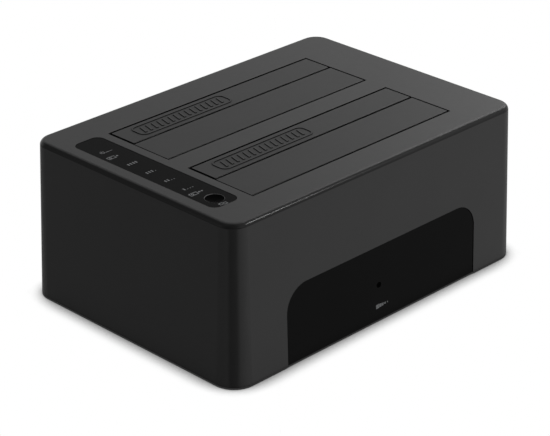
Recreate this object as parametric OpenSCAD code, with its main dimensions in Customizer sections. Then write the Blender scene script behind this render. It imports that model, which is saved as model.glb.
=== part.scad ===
// Two-bay drive dock with sprung bay flaps, an indicator strip and a front panel.
// Millimetres. The origin is under the middle of the body, at the feet's lower face.
// X runs to the right along the front, Y towards the rear and Z up.

/* [Body] */
// Width of the top face
body_w = 150.6; // [148:0.1:170]
// Depth of the top face
body_d = 105.5; // [104:0.1:130]
// Height of the housing above its lower edge
body_h = 62.7; // [58:0.1:80]
// Outward lean of each side from top to bottom
draft = 2.1; // [0.4:0.1:3]
// Radius of the upright corners at the top face
corner_r = 7; // [6:0.5:12]
// Radius of the rounded top edge
edge_r = 2; // [0.6:0.1:3]
// Thickness of the side walls
wall = 2.2; // [1.9:0.1:2.8]
// Thickness of the top plate
top_t = 1.8; // [1.5:0.1:2.4]

/* [Drive bays] */
// Length of a bay opening
bay_l = 105.2; // [103:0.1:107]
// Depth of a bay opening from front to back
bay_d = 33.1; // [31:0.1:34]
// Solid strip of the top plate between the bays
bay_strip = 9.9; // [9:0.1:13]
// Width of the top face to the left of the bays
left_strip = 22.6; // [22:0.1:26]
// Shift of the pair of bays towards the rear
bay_shift = -1.55; // [-2:0.05:1]
// Width of the largest drive
drive_w = 101.6; // [101:0.1:102.4]
// Thickness of the largest drive
drive_t = 26.1; // [24:0.1:26.2]
// Thickness of the cage walls
cage_wall = 1.6; // [1.2:0.1:2]
// Thickness of the bay floors
floor_t = 1.6; // [1.2:0.1:2.4]
// Room between a bay opening's end and the cage wall
end_room = 1.8; // [1.5:0.1:2.2]
// Width of a drive guide
guide_w = 3; // [2:0.5:6]
// Side clearance of a guided drive
drive_clear = 0.4; // [0.2:0.1:0.6]

/* [Flaps] */
// Depth of the bay that the narrow flap covers
narrow_share = 13.5; // [12:0.1:14]
// Thickness of a flap
flap_t = 1.6; // [1.2:0.1:2]
// Rounding of a flap's top edges
flap_edge_r = 0.4; // [0.1:0.05:0.6]
// Depth of the flaps below the top face
flap_sink = 0.1; // [0:0.05:0.3]
// Gap along the rear rim, at a narrow flap
narrow_rim_gap = 0.5; // [0.3:0.05:0.8]
// Gap along the front rim, at a wide flap
wide_rim_gap = 1; // [0.3:0.05:1.2]
// Gap where the two flaps of a bay meet
meet_gap = 0.7; // [0.7:0.05:1.2]
// Gap at a flap's end
end_gap = 0.6; // [0.3:0.05:0.9]
// Gap at the left end of a narrow flap
narrow_left_gap = 1.3; // [0.3:0.05:1.5]
// Distance of a hinge axis behind its rim
hinge_setback = 1; // [0.8:0.05:1.4]
// Radius of the hinge lugs
lug_r = 1.5; // [1.3:0.05:1.7]
// Width of a hinge lug
lug_w = 5; // [3:0.5:8]
// Reach of a lug's gusset under its flap
gusset_l = 5.5; // [4:0.1:6.5]
// Radius of a hinge pin
pin_r = 0.75; // [0.6:0.05:0.85]
// Radial clearance of a hinge pin
pin_clear = 0.05; // [0.03:0.01:0.1]
// Clearance around the swinging lugs
swing_clear = 0.3; // [0.2:0.05:0.5]
// Width of a stop tab along the flap's end
tab_w = 4; // [2:0.5:6]
// Thickness of a stop tab
tab_t = 0.6; // [0.4:0.05:0.7]
// Overlap of a stop tab under the bay rim
tab_reach = 1; // [0.6:0.1:1.2]
// Length of the raised frame on a narrow flap
frame_l = 46.5; // [30:0.5:60]
// Depth of the raised frame
frame_d = 8.4; // [6:0.1:9]
// Corner radius of the raised frame
frame_r = 2.8; // [1.5:0.1:3]
// Line width of the raised frame
frame_line = 0.5; // [0.3:0.05:0.8]
// Height of the raised frame and its bars
frame_h = 0.25; // [0.15:0.05:0.4]
// Offset of the raised frame to the left
frame_shift = 21.2; // [10:0.1:22]

/* [Flap springs] */
// Radius of the spring wire
wire_r = 0.2; // [0.15:0.05:0.25]
// Mean radius of a spring coil
coil_r = 1.2; // [1.15:0.05:1.25]
// Full turns of a spring
coil_turns = 5; // [3:1:7]
// Advance of a spring per turn
coil_pitch = 0.85; // [0.7:0.05:1]
// Length of the spring leg under the flap
flap_leg = 6; // [4:0.5:8]
// Length of the spring leg in the pocket
pocket_leg = 4; // [2:0.5:4.5]

/* [Panels] */
// Width of the front panel
front_panel_w = 101.6; // [80:0.2:110]
// Height of the front panel above the lower edge
front_panel_h = 30.2; // [24:0.1:40]
// Radius of the front panel's upper corners
front_panel_r = 10; // [6:0.5:18]
// Thickness of the front panel
front_panel_t = 1.2; // [0.8:0.1:1.4]
// Depth of the front panel below the front face
front_panel_sink = 0.25; // [0.05:0.05:0.5]
// Offset of the front panel to the right
front_panel_shift = 0.5; // [-2:0.1:2]
// Gap around the inset panels
panel_clear = 0.15; // [0.05:0.05:0.3]
// Radius of the pinhole
pinhole_r = 1.2; // [0.6:0.05:1.3]
// Height of the pinhole above the lower edge
pinhole_h = 14.3; // [13.8:0.1:16]
// Offset of the pinhole to the right
pinhole_x = -2.2; // [-20:0.1:20]
// Width of the indicator panel
ind_w = 12.5; // [9:0.1:13]
// Length of the indicator panel
ind_l = 74.9; // [66:0.1:76]
// Corner radius of the indicator panel
ind_r = 3.2; // [2:0.1:5]
// Thickness of the indicator panel
ind_t = 1; // [0.6:0.1:1.1]
// Distance of the indicator panel's middle from the left edge of the top
ind_inset = 12.4; // [11.5:0.1:13.2]
// Shift of the indicator panel towards the rear
ind_shift = -0.1; // [-1:0.1:1]
// Distance between the progress lamps
lamp_pitch = 9.8; // [8:0.1:11]
// Radius of a lamp window
lamp_r = 0.6; // [0.4:0.05:0.9]
// Offset of the lamps from the middle of the indicator panel
lamp_offset = 2.8; // [2.5:0.1:3.2]

/* [Buttons and switches] */
// Radius of the round button
button_r = 3.5; // [2.6:0.1:3.7]
// Distance of the button from the indicator panel's front end
button_inset = 6.5; // [5.6:0.1:7]
// Depth of the button's rim below the top face
button_sink = 0.3; // [0.1:0.05:0.5]
// Depth of the dish in the button
button_dish = 0.5; // [0.1:0.05:0.6]
// Radial clearance around the button
button_clear = 0.15; // [0.1:0.05:0.3]
// Travel of the button
button_travel = 0.4; // [0.2:0.05:0.6]
// Side of a push switch body
switch_s = 6; // [5:0.5:6.5]
// Height of a push switch body
switch_h = 3.5; // [3:0.1:4]
// Radius of a push switch plunger
plunger_r = 1.5; // [1.2:0.1:1.75]
// Radial clearance of a push switch plunger
plunger_clear = 0.1; // [0.05:0.05:0.2]
// Travel of the switch behind the pinhole
erase_travel = 0.3; // [0.2:0.05:0.5]
// Distance of the power switch from the right edge of the top face
rocker_x = 17.3; // [16.5:0.1:19]
// Height of the power switch above the lower edge
rocker_h = 26; // [22:0.5:36]
// Width of the power switch bezel
bezel_w = 10.4; // [10:0.1:12]
// Height of the power switch bezel
bezel_h = 15.6; // [15:0.1:18]
// Thickness of the power switch bezel
bezel_t = 1.2; // [1:0.1:1.6]
// Half of the rocker's full swing
rocker_swing = 8; // [5:0.5:9]

/* [Ports] */
// Distance of the power inlet from the power switch
dc_x = 16; // [15:0.5:20]
// Width of the power inlet
dc_w = 9; // [9:0.1:10]
// Height of the power inlet
dc_h = 11; // [10.5:0.1:12]
// Length of the power inlet
dc_l = 11.8; // [11.6:0.1:13]
// Radius of the power inlet's nose
dc_nose_r = 4.1; // [3.8:0.1:4.4]
// Radius of the power inlet's bore
dc_bore_r = 3.1; // [2.8:0.1:3.2]
// Radius of the power inlet's pin
dc_pin_r = 1; // [0.8:0.05:1.25]
// Distance of the data receptacle from the power inlet
usb_x = 18; // [12:0.5:30]
// Width of the data receptacle
usb_w = 8.94; // [8.6:0.02:9.4]
// Height of the data receptacle
usb_h = 3.26; // [3:0.02:3.6]
// Length of the data receptacle
usb_l = 7.4; // [6.5:0.1:9]
// Thickness of the receptacle's shell
usb_t = 0.3; // [0.2:0.02:0.4]
// Gap around a port in the rear wall
port_clear = 0.2; // [0.1:0.05:0.4]
// Depth of the ports below the rear face
port_sink = 0.3; // [0.1:0.05:0.6]

/* [Boards] */
// Thickness of the main board
board_t = 1.6; // [1.2:0.1:2]
// Height of the standoffs under the main board
standoff_h = 5.6; // [4:0.1:7]
// Gap between the main board and the front wall
board_front_gap = 3.8; // [3:0.1:5]
// Gap between the main board and the rear wall
board_rear_gap = 1.8; // [1:0.1:2.5]
// Length of a drive socket
socket_l = 44; // [42:0.5:46]
// Width of a drive socket
socket_w = 6.4; // [6:0.1:7]
// Height of a drive socket above the main board
socket_h = 11; // [10:0.1:12]
// Height of a drive socket above its bay floor
socket_proud = 4.5; // [3:0.1:5.5]
// Offset of the drive sockets to the left
socket_shift = 20.68; // [18:0.02:22]
// Distance of a drive's connector from its rear face
connector_y = 3.5; // [3.3:0.1:3.8]
// Gap around a drive socket in its bay floor
socket_clear = 0.5; // [0.3:0.1:1]
// Pitch of the socket contacts
contact_pitch = 1.27; // [1.2:0.01:1.3]
// Thickness of the indicator board
ind_board_t = 1.2; // [0.8:0.1:1.6]
// Height of the space between the indicator board and the top plate
shroud_h = 6; // [5.8:0.1:7]
// Width of the ribbon cable
ribbon_w = 8; // [6:0.5:12]
// Thickness of the ribbon cable
ribbon_t = 0.3; // [0.2:0.05:0.5]
// Bow of the ribbon cable between its sockets
ribbon_bow = 2.4; // [1:0.1:3]

/* [Base, feet and screws] */
// Height of the feet below the housing's lower edge
foot_drop = 0.8; // [0.5:0.1:2]
// Radius of a foot
foot_r = 5; // [4:0.5:6]
// Depth of a foot's pocket in the base cover
foot_pocket = 0.6; // [0.3:0.1:0.9]
// Thickness of the base cover
base_t = 2.4; // [2.2:0.1:3]
// Depth of the base cover inside the housing's lower edge
base_inset = 0.6; // [0.3:0.1:1]
// Gap around the base cover
base_clear = 0.3; // [0.2:0.05:0.5]
// Length of a vent slot
vent_l = 26; // [16:1:28]
// Width of a vent slot
vent_w = 2; // [1:0.1:2.4]
// Distance between vent slots
vent_pitch = 6; // [5:0.5:10]
// Distance of the screw pillars from the edges of the top face
pillar_inset = 6.8; // [6.4:0.1:7.4]
// Radius of the housing's screw pillars
pillar_r = 2.8; // [2.6:0.1:3]
// Radius of a base screw's shank
base_screw_r = 1.4; // [1.2:0.05:1.5]
// Length of a base screw under its head
base_screw_l = 12; // [8:0.5:16]
// Radius of a small screw's shank
small_screw_r = 1; // [0.8:0.05:1.1]
// Clearance of a screw in its hole
screw_clear = 0.05; // [0.03:0.01:0.1]
// Length of the posts that carry the cage
post_l = 6; // [5:0.1:7]

/* [Hidden] */
$fn = 48;

// Colours
housing_colour = "#47484b";
flap_colour = "#4b4c4f";
gloss_colour = "#161618";
lens_colour = "#232326";
cage_colour = "#2c2c2f";
black_colour = "#1b1b1c";
rubber_colour = "#202020";
steel_colour = "#b9bcc0";
gold_colour = "#c9a24a";
board_colour = "#1f5a3a";
white_colour = "#e6e4dc";

// Overlap that joins solids of one piece, and overshoot of a cut past a face
join = 0.2;
past = 1;
// Least straight run between the round ends of a slot
sliver = 0.02;

// Levels
z_base = foot_drop;
z_top = z_base + body_h;
z_under = z_top - top_t;
base_z0 = z_base + base_inset;
base_z1 = base_z0 + base_t;
board_z = base_z1 + standoff_h;
board_top = board_z + board_t;
floor_z = board_top + socket_h - socket_proud;
ind_board_top = z_under - shroud_h;
ind_board_z = ind_board_top - ind_board_t;

// The sides lean by one angle, and the upright corners share four axes
lean_a = atan(draft / body_h);
axis_x = body_w / 2 - corner_r;
axis_y = body_d / 2 - corner_r;
pillar_x = body_w / 2 - pillar_inset;
pillar_y = body_d / 2 - pillar_inset;
pillar_places = [for (x = [-pillar_x, pillar_x], y = [-pillar_y, pillar_y]) [x, y]];
function lean(z) = draft * (z_top - z) / body_h;
function half_d(z) = body_d / 2 + lean(z);
function inner_d(z) = half_d(z) - wall;

// Bays
FRONT = -1;
REAR = 1;
bay_x = left_strip + bay_l / 2 - body_w / 2;
function bay_mid(bay) = bay_shift + bay * (bay_d + bay_strip) / 2;
function front_rim(bay) = bay_mid(bay) - bay_d / 2;
function rear_rim(bay) = bay_mid(bay) + bay_d / 2;
wide_share = bay_d - narrow_share;

// Hinges: the lugs turn just under the top plate
hinge_drop = top_t + swing_clear + lug_r;
hinge_z = z_top - hinge_drop;
flap_top = hinge_drop - flap_sink;
flap_under = flap_top - flap_t;
flap_hang = flap_top - hinge_setback;
lug_top = hinge_drop - top_t - swing_clear;
lug_inset = 8;
lug_x = bay_l / 2 - lug_inset;
knuckle_x = 22;
knuckle_w = 4;
knuckle_gap = 0.4;
stop_gap = 0.05;
tab_inset = 2;
bar_count = 15;
bar_w = 0.9;
bar_pitch = 2.8;
bar_slant = 0.6;
bar_margin = 1.4;

// Cage
well_hx = bay_l / 2 + end_room;
cage_hx = well_hx + cage_wall;
pocket_d = hinge_setback + lug_r + swing_clear;
pocket_z = hinge_z - gusset_l - swing_clear;
collar_z = pocket_z - cage_wall;
collar_y0 = front_rim(FRONT) - pocket_d - cage_wall;
collar_y1 = rear_rim(REAR) + pocket_d + cage_wall;
flap_room = 4;
guide_top = hinge_z - hinge_setback - wide_share - flap_room;
guide_xs = [-47, 14, 44];
ear_t = 2.2;
cage_relief = 0.2;
ear_z = z_under - post_l - ear_t;
post_r = 2.6;
post_x = 36;
post_gap = 0.4;
post_y = inner_d(z_under) - post_r - post_gap;
post_places = [for (x = [-post_x, post_x], y = [-post_y, post_y]) [bay_x + x, y]];
function socket_y(bay) = rear_rim(bay) - flap_hang - drive_clear - connector_y;

// Indicator strip
ind_x = ind_inset - body_w / 2;
button_y = ind_shift - ind_l / 2 + button_inset;
// Lamps, measured from the button towards the rear
lamp_first = 41.75;
lamp_count = 4;
status_ys = [56.05, 50.45, 7.35];
row_ys = [for (i = [0:lamp_count - 1]) lamp_first - i * lamp_pitch];
lamp_ys = [for (y = concat(row_ys, status_ys)) button_y + y];
lamp_x = ind_x + lamp_offset;
shroud_margin = 2.4;
shroud_y0 = min(lamp_ys) - shroud_margin;
shroud_y1 = max(lamp_ys) + shroud_margin;
shroud_w = 6;
shroud_bore_r = 1.4;
led_size = [1.6, 0.8, 0.7];
ind_post_r = 2;
ind_post_gap = 0.1;
ind_post_y = ind_l / 2 + ind_post_r + ind_post_gap;
ind_places = [for (s = [-1, 1]) [ind_x, ind_shift + s * ind_post_y]];
ind_board_w = 8.8;
ind_board_shift = 1.3;
ind_board_end = 2.4;
flange_w = 0.9;
flange_t = 0.9;
stem_r = 1.4;
switch_rise = 0.9;
plunger_seat = 1.2;

// Rear ports, in a row from the right edge
switch_mid = body_w / 2 - rocker_x;
inlet_mid = switch_mid - dc_x;
port_mid = inlet_mid - usb_x;

// Main board and its parts
board_hx = pillar_x - pillar_r - base_clear;
board_y0 = board_front_gap - inner_d(board_z);
board_y1 = inner_d(board_z) - board_rear_gap;
screw_inset = 6.5;
board_places = [
  for (x = [-1, 1], y = [board_y0 + screw_inset, board_y1 - screw_inset]) [x * (board_hx - screw_inset), y]
];
standoff_r = 3;
pinhole_z = z_base + pinhole_h * cos(lean_a);
erase_depth = 3.8;
erase_seat = 1.2;
erase_gap = 0.6;
erase_tip = erase_gap - inner_d(pinhole_z);
erase_top = 3;
socket_slot_w = 2.2;
socket_slot_depth = 6;
contact_w = 0.6;
contact_t = 0.35;
data_contacts = 7;
power_contacts = 15;
contact_margin = 1;
slot_wall = 2.4;
dc_rim = 0.6;
dc_axis_z = board_top + dc_h - dc_nose_r - dc_rim;
dc_face = half_d(dc_axis_z) - port_sink;
dc_nose_l = 4;
dc_bore_l = 10.5;
dc_pin_sink = 1;
usb_axis_z = board_top + usb_h / 2;
usb_face = half_d(usb_axis_z) - port_sink;
usb_tongue_w = 6.7;
usb_tongue_t = 0.7;
usb_tongue_sink = 0.9;
usb_back_t = 1;
ribbon_offset = 2.2;
ribbon_x = ind_x + ribbon_offset;
ribbon_y = 10;
ribbon_socket_w = 3.4;
ribbon_socket_h = 3;
ribbon_socket_margin = 1.5;
ribbon_z0 = board_top + ribbon_socket_h;
ribbon_z1 = ind_board_z - ribbon_socket_h;

// Power switch, measured from the outer rear face
rocker_wall = 0.6;
rocker_lip = 1;
switch_hw = bezel_w / 2 - rocker_lip;
switch_hh = bezel_h / 2 - rocker_lip;
rocker_gap = 0.35;
rocker_hw = switch_hw - rocker_wall - rocker_gap;
rocker_end_gap = 0.8;
rocker_hl = switch_hh - rocker_wall - rocker_end_gap;
rocker_axis = -2;
rocker_pin_r = 0.8;
rocker_height = 3.2;
rocker_dip = 1;
rocker_side = 0.6;
rocker_foot = 1.5;
switch_depth = 10;
rocker_well = 5;
lead_r = 0.6;
lead_x = 1.2;
lead_run = 2;
lead_bend = 3;

// Feet and screws
foot_inset = [22, 11];
foot_x = body_w / 2 - foot_inset[0];
foot_y = body_d / 2 - foot_inset[1];
foot_places = [for (y = [-foot_y, foot_y], x = [-foot_x, foot_x]) [x, y]];
base_head_r = 2.7;
base_head_h = 1.6;
base_seat = 1.4;
head_clear = 0.3;
small_head_r = 2;
small_head_h = 1.4;
small_screw_l = 6.5;
board_screw_bite = 4;
board_screw_l = board_t + board_screw_bite;
vent_count = 7;
vent_y = 19;

// Box between two opposite corners
module box(a, b) {
  translate(a) cube(b - a);
}

// Rectangle with four round corners, centred
module round_rect(w, h, r) {
  square([w - 2 * r, h], center = true);
  square([w, h - 2 * r], center = true);
  for (x = [-1, 1], y = [-1, 1]) translate([x * (w / 2 - r), y * (h / 2 - r)]) circle(r);
}

// Solid with round upright corners. The child is its side profile, outward from the corner axes
module round_block(z0, z1) {
  box([-axis_x, -axis_y, z0], [axis_x, axis_y, z1]);
  for (s = [0, 1]) {
    mirror([s, 0, 0]) translate([axis_x, 0, 0]) rotate([90, 0, 0])
      linear_extrude(2 * axis_y, center = true) children();
    mirror([0, s, 0]) translate([0, axis_y, 0]) rotate([90, 0, 90])
      linear_extrude(2 * axis_x, center = true) children();
  }
  for (sx = [0, 1], sy = [0, 1])
    mirror([sx, 0, 0]) mirror([0, sy, 0]) translate([axis_x, axis_y, 0])
      rotate_extrude(angle = 90) children();
}

// Leaning side with a rounded top edge
module outer_profile() {
  edge_x = corner_r - edge_r * (1 - sin(lean_a)) / cos(lean_a);
  edge_z = z_top - edge_r;
  polygon([
    [0, z_base], [corner_r + draft, z_base],
    [edge_x + edge_r * cos(lean_a), edge_z + edge_r * sin(lean_a)],
    [edge_x, edge_z], [edge_x, z_top], [0, z_top]
  ]);
  translate([edge_x, edge_z]) circle(edge_r);
}

// Inside of the walls, open at the bottom
module inner_profile() {
  z0 = z_base - past;
  polygon([
    [0, z0], [corner_r + lean(z0) - wall, z0],
    [corner_r + lean(z_under) - wall, z_under], [0, z_under]
  ]);
}

// Frame on the outer front face: x to the right, y up the face, z outward
module on_front() {
  translate([0, -half_d(z_base), z_base]) rotate([90 - lean_a, 0, 0]) children();
}

// Frame on the outer rear face: x to the left of the body, y up the face, z outward
module on_rear() {
  translate([0, half_d(z_base), z_base]) rotate([90 - lean_a, 0, 180]) children();
}

// Outline of the front panel, grown by a gap and lengthened past the lower edge
module front_outline(gap, below) {
  w = front_panel_w + 2 * gap;
  r = front_panel_r + gap;
  top = front_panel_h + gap;
  translate([front_panel_shift - w / 2, -below]) square([w, top - r + below]);
  translate([front_panel_shift - w / 2 + r, -below]) square([w - 2 * r, top + below]);
  for (s = [-1, 1]) translate([front_panel_shift + s * (w / 2 - r), top - r]) circle(r);
}

// Outline of the data receptacle on the rear, grown by a gap
module usb_outline(gap) {
  round_rect(usb_w + 2 * gap, usb_h + 2 * gap, (usb_h + 2 * gap - sliver) / 2);
}

// Puts a shape drawn upright, x across and y up, at a place on the rear, extruded inward from y
module rear_extrude(x, y, z, length) {
  translate([x, y, z]) rotate([90, 0, 0]) linear_extrude(length) children();
}

module top_housing() {
  color(housing_colour) {
    difference() {
      round_block(z_base, z_top) outer_profile();
      round_block(z_base - past, z_under) inner_profile();
      translate([bay_x, 0, 0]) for (bay = [FRONT, REAR])
        box([-bay_l / 2, front_rim(bay), z_under - past], [bay_l / 2, rear_rim(bay), z_top + past]);
      translate([ind_x, ind_shift, z_top - ind_t]) linear_extrude(ind_t + past)
        round_rect(ind_w + 2 * panel_clear, ind_l + 2 * panel_clear, ind_r + panel_clear);
      for (y = lamp_ys) translate([lamp_x, y, z_under - past]) cylinder(r = lamp_r, h = top_t + past);
      translate([ind_x, button_y, z_under - past]) cylinder(r = button_r + button_clear, h = top_t + past);
      on_front() translate([0, 0, -front_panel_t]) linear_extrude(front_panel_t + past)
        front_outline(panel_clear, past);
      on_front() translate([pinhole_x, pinhole_h, -wall - past]) cylinder(r = pinhole_r, h = wall + 2 * past);
      translate([inlet_mid, inner_d(dc_axis_z) - past, dc_axis_z]) rotate([-90, 0, 0])
        cylinder(r = dc_nose_r + port_clear, h = wall + 2 * past);
      rear_extrude(port_mid, usb_face + past, usb_axis_z, wall + 2 * past) usb_outline(port_clear);
      on_rear() translate([-switch_mid, rocker_h, -wall - past]) linear_extrude(wall + 2 * past)
        square([2 * (switch_hw + port_clear), 2 * (switch_hh + port_clear)], center = true);
    }
    difference() {
      union() {
        for (p = pillar_places) translate(p)
          pilot_post(pillar_r, base_z1, base_screw_r, base_z0 + base_seat + base_screw_l + past);
        for (p = post_places) translate(p)
          pilot_post(post_r, z_under - post_l, small_screw_r, z_under);
      }
      for (bay = [FRONT, REAR], side = [FRONT, REAR]) at_hinge(bay, side) rotate([0, 90, 0])
        cylinder(r = pin_r + cage_relief, h = 2 * (cage_hx + cage_relief), center = true);
    }
    for (p = ind_places) translate(p)
      pilot_post(ind_post_r, ind_board_top, small_screw_r, z_under);
  }
}

// Round post hanging from the top plate, with a blind pilot hole from below
module pilot_post(r, z0, screw_r, hole_top) {
  difference() {
    translate([0, 0, z0]) cylinder(r = r, h = z_under + join - z0);
    translate([0, 0, z0 - past]) cylinder(r = screw_r + screw_clear, h = hole_top - z0 + past);
  }
}

module base_cover() {
  r = corner_r + lean(base_z1) - wall - base_clear;
  color(cage_colour) {
    difference() {
      translate([0, 0, base_z0]) linear_extrude(base_t)
        round_rect(2 * (axis_x + r), 2 * (axis_y + r), r);
      for (p = pillar_places) translate([p[0], p[1], base_z0 - past]) {
        cylinder(r = base_screw_r + head_clear, h = base_t + 2 * past);
        cylinder(r = base_head_r + head_clear, h = base_seat + past);
      }
      for (p = foot_places) translate([p[0], p[1], base_z0 - past])
        cylinder(r = foot_r, h = foot_pocket + past);
      for (i = [0:vent_count - 1], y = [-vent_y, vent_y])
        translate([(i - (vent_count - 1) / 2) * vent_pitch, y, base_z0 - past])
          linear_extrude(base_t + 2 * past) round_rect(vent_w, vent_l, (vent_w - sliver) / 2);
    }
    for (p = board_places) translate([p[0], p[1], base_z1 - join]) difference() {
      cylinder(r = standoff_r, h = standoff_h + join);
      translate([0, 0, join]) cylinder(r = small_screw_r + screw_clear, h = standoff_h + past);
    }
  }
}

module foot(i) {
  color(rubber_colour) translate(foot_places[i])
    cylinder(r = foot_r, h = base_z0 + foot_pocket);
}

module front_panel() {
  color(gloss_colour) on_front() difference() {
    translate([0, 0, -front_panel_t]) linear_extrude(front_panel_t - front_panel_sink) front_outline(0, 0);
    translate([pinhole_x, pinhole_h, -front_panel_t - past])
      cylinder(r = pinhole_r, h = front_panel_t + 2 * past);
  }
}

module indicator_panel() {
  color(lens_colour) difference() {
    translate([ind_x, ind_shift, z_top - ind_t]) linear_extrude(ind_t - flap_sink)
      round_rect(ind_w, ind_l, ind_r);
    translate([ind_x, button_y, z_top - ind_t - past])
      cylinder(r = button_r + button_clear, h = ind_t + 2 * past);
  }
}

module drive_cage() {
  color(cage_colour) {
    difference() {
      union() {
        difference() {
          cage_block();
          for (p = post_places) translate([p[0], p[1], ear_z]) {
            translate([0, 0, ear_t]) cylinder(r = post_r + post_gap, h = post_l + past);
            mirror([0, 0, 1]) cylinder(r = small_head_r + head_clear, h = ear_z - collar_z + past);
          }
        }
        for (p = post_places) cage_ear(p);
      }
      translate([bay_x, 0, 0]) for (bay = [FRONT, REAR]) {
        box([-well_hx, front_rim(bay), floor_z], [well_hx, rear_rim(bay), z_under + past]);
        box([-well_hx, front_rim(bay) - pocket_d, pocket_z],
            [well_hx, rear_rim(bay) + pocket_d, z_under + past]);
        translate([-socket_shift, socket_y(bay), floor_z]) linear_extrude(2 * floor_t + past, center = true)
          square([socket_l + 2 * socket_clear, socket_w + 2 * socket_clear], center = true);
        for (y = [front_rim(bay) - hinge_setback, rear_rim(bay) + hinge_setback])
          translate([-cage_hx - past, y, hinge_z]) rotate([0, 90, 0])
            cylinder(r = pin_r + pin_clear, h = 2 * (cage_hx + past));
      }
      for (p = post_places) translate([p[0], p[1], ear_z - past])
        cylinder(r = small_screw_r + head_clear, h = ear_t + 2 * past);
      cage_reliefs();
    }
    translate([bay_x, 0, 0]) for (bay = [FRONT, REAR]) {
      bay_guides(bay);
      translate([0, front_rim(bay) - hinge_setback, hinge_z]) knuckles();
      translate([0, rear_rim(bay) + hinge_setback, hinge_z]) mirror([0, 1, 0]) knuckles();
    }
  }
}

// Room for the switch in front of the cage and the inlet behind it, where a shallow housing brings them close
module cage_reliefs() {
  hw = switch_s / 2 + cage_relief;
  box([pinhole_x - hw, -body_d / 2, board_top],
      [pinhole_x + hw, board_y0 + erase_depth + cage_relief, pinhole_z + erase_top + cage_relief]);
  dc_hw = dc_w / 2 + cage_relief;
  box([inlet_mid - dc_hw, dc_face - dc_l - cage_relief, board_top],
      [inlet_mid + dc_hw, body_d / 2, board_top + dc_h + cage_relief]);
}

// Outside of the cage: a collar under the top plate and the two wells below it
module cage_block() {
  translate([bay_x, 0, 0]) {
    box([-cage_hx, collar_y0, collar_z], [cage_hx, collar_y1, z_under]);
    for (bay = [FRONT, REAR])
      box([-cage_hx, front_rim(bay) - cage_wall, floor_z - floor_t],
          [cage_hx, rear_rim(bay) + cage_wall, collar_z + join]);
  }
}

// Screw ear on the collar, under a post of the housing
module cage_ear(p) {
  y = p[1] > 0 ? collar_y1 - join : collar_y0 + join;
  translate([p[0], p[1], ear_z]) cylinder(r = post_r, h = ear_t);
  box([p[0] - post_r, min(y, p[1]), ear_z], [p[0] + post_r, max(y, p[1]), ear_z + ear_t]);
}

// Bearings of one hinge pin, on the pocket's wall, which lies towards -Y
module knuckles() {
  r = lug_r - pin_clear;
  for (x = [-knuckle_x, knuckle_x]) translate([x, 0, 0]) difference() {
    union() {
      rotate([0, 90, 0]) cylinder(r = r, h = knuckle_w, center = true);
      box([-knuckle_w / 2, -pocket_d + hinge_setback - join, -r], [knuckle_w / 2, 0, r]);
    }
    rotate([0, 90, 0]) cylinder(r = pin_r + pin_clear, h = knuckle_w + past, center = true);
  }
}

// Upright guides that steer a drive to its socket
module bay_guides(bay) {
  rear_face = rear_rim(bay) - flap_hang;
  front_face = rear_face - 2 * drive_clear - drive_t;
  end_face = drive_w / 2 + drive_clear;
  for (x = guide_xs) {
    box([x, rear_face, floor_z - join], [x + guide_w, rear_rim(bay) + join, guide_top]);
    box([x, front_rim(bay) - join, floor_z - join], [x + guide_w, front_face, guide_top]);
  }
  for (s = [0, 1]) mirror([s, 0, 0])
    box([end_face, bay_mid(bay) - guide_w / 2, floor_z - join],
        [well_hx + join, bay_mid(bay) + guide_w / 2, guide_top]);
}

// Hinge frame: x along the pin, y towards the free edge, z up. Side is FRONT or REAR rim
module at_hinge(bay, side) {
  y = side == FRONT ? front_rim(bay) - hinge_setback : rear_rim(bay) + hinge_setback;
  translate([bay_x, y, hinge_z]) mirror([0, side == REAR ? 1 : 0, 0]) children();
}

// Extrudes a profile drawn across the hinge, y towards the free edge, from x0 to x1
module along_hinge(x0, x1) {
  translate([x0, 0, 0]) rotate([90, 0, 90]) linear_extrude(x1 - x0) children();
}

module flap_plate(u0, u1) {
  r = flap_edge_r;
  translate([u0, flap_under]) square([u1 - u0, flap_t - r]);
  translate([u0 + r, flap_under]) square([u1 - u0 - 2 * r, flap_t]);
  for (u = [u0 + r, u1 - r]) translate([u, flap_top - r]) circle(r);
}

module flap_lug(u0) {
  circle(lug_r);
  polygon([
    [0, lug_top], [u0 - swing_clear, lug_top], [u0, flap_under + join], [gusset_l, flap_under + join],
    [gusset_l, flap_under], [lug_r * cos(45), -lug_r * sin(45)], [0, 0]
  ]);
}

// Tab at a flap's end that stops under the bay rim, up to u1 from the hinge
module stop_tab(end_x, u1) {
  top = hinge_drop - top_t - stop_gap;
  box([end_x - tab_inset, u1 - tab_w, top - tab_t], [bay_l / 2 + tab_reach, u1, top]);
  box([end_x - tab_inset, u1 - tab_w, top - tab_t], [end_x, u1, flap_under + join]);
}

// Bay flap with its hinge lugs and stop tabs
module flap(share, rim_gap, left_gap) {
  u0 = hinge_setback + rim_gap;
  u1 = hinge_setback + share - meet_gap / 2;
  x0 = left_gap - bay_l / 2;
  x1 = bay_l / 2 - end_gap;
  difference() {
    union() {
      along_hinge(x0, x1) flap_plate(u0, u1);
      for (x = [-lug_x, 0, lug_x]) along_hinge(x - lug_w / 2, x + lug_w / 2) flap_lug(u0);
      mirror([1, 0, 0]) stop_tab(-x0, u1 - tab_inset);
      stop_tab(x1, u1 - tab_inset);
    }
    rotate([0, 90, 0]) cylinder(r = pin_r + pin_clear, h = bay_l, center = true);
  }
}

module wide_flap(bay) {
  color(flap_colour) at_hinge(bay, FRONT) flap(wide_share, wide_rim_gap, end_gap);
}

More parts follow.
